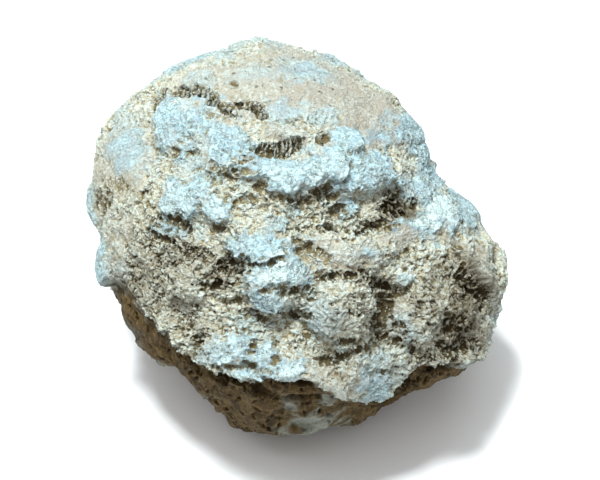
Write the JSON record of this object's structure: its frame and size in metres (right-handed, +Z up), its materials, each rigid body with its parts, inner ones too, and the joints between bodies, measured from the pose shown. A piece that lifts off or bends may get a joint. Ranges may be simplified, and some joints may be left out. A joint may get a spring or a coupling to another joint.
{
  "type": "quartz geode",
  "caption": "Whole, uncracked geode: a lumpy, crusty round stone with a smaller lobe on one side and a small flat spot to rest on.",
  "frame": {"origin": "on the ground, under the middle of the geode's outline seen from above", "axes": "+Z up from the flat resting spot, +X the longest way, towards the smaller lobe, -Y the front, which shows the crusted face"},
  "size_m": [0.1094, 0.1056, 0.0891],
  "materials": {
    "rind": "matt, granular crust: pale blue-white chalky patches on cream grains, tan cap, brown in the hollows and on the underside"
  },
  "bodies": {
    "root": {"geode": "rind"}
  },
  "joints": []
}
